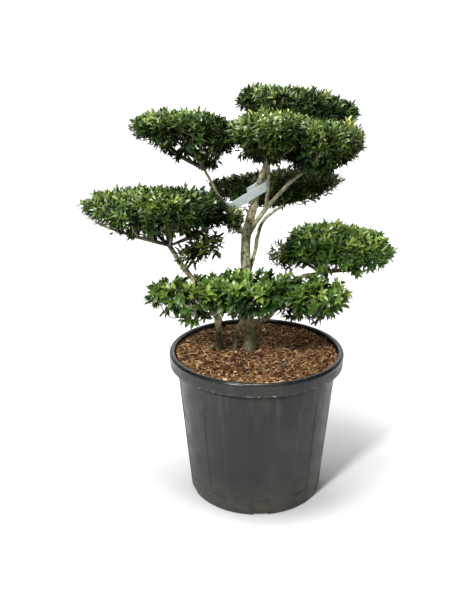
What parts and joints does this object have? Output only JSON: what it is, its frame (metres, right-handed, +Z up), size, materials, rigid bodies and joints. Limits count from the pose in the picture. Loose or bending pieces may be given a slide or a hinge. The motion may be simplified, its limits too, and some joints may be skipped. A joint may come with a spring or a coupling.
{
  "type": "cloud-pruned evergreen shrub in a nursery pot",
  "caption": "Potted evergreen shrub pruned into flat clouds of small leaves, one above another on crooked boughs, in a round panelled plastic nursery pot.",
  "frame": {"origin": "middle of the flat underside of the pot", "axes": "+Z up; -Y towards the front of the plant, the side seen in the picture; +X to the right as seen from the front"},
  "size_m": [0.8566, 0.5697, 1.1524],
  "materials": {
    "pot": "satin black moulded plastic, slightly dusty",
    "mulch": "shredded brown bark mulch over compost",
    "bark": "smooth grey-beige bark with a green tint",
    "foliage": "small glossy dark green leaves with lighter new growth",
    "label": "blank pale film strip"
  },
  "bodies": {
    "root": {"pot": "pot", "soil": "mulch", "trunk": "bark", "stem_left": "bark", "stem_middle": "bark", "bough_right_low": "bark", "bough_back": "bark", "bough_left_high": "bark", "bough_right_high": "bark", "bough_top_front": "bark", "bough_left_low": "bark", "bough_front_right": "bark", "twig_left": "bark", "twig_middle": "bark", "twig_right": "bark", "foliage_top_back": "foliage", "foliage_top_front": "foliage", "foliage_top_right": "foliage", "foliage_top_left": "foliage", "foliage_middle_back": "foliage", "foliage_left": "foliage", "foliage_left_tuft": "foliage", "foliage_middle_tuft": "foliage", "foliage_right": "foliage", "foliage_right_tuft": "foliage", "foliage_low_left": "foliage", "foliage_low_middle": "foliage", "foliage_low_right": "foliage", "label": "label"}
  },
  "joints": []
}
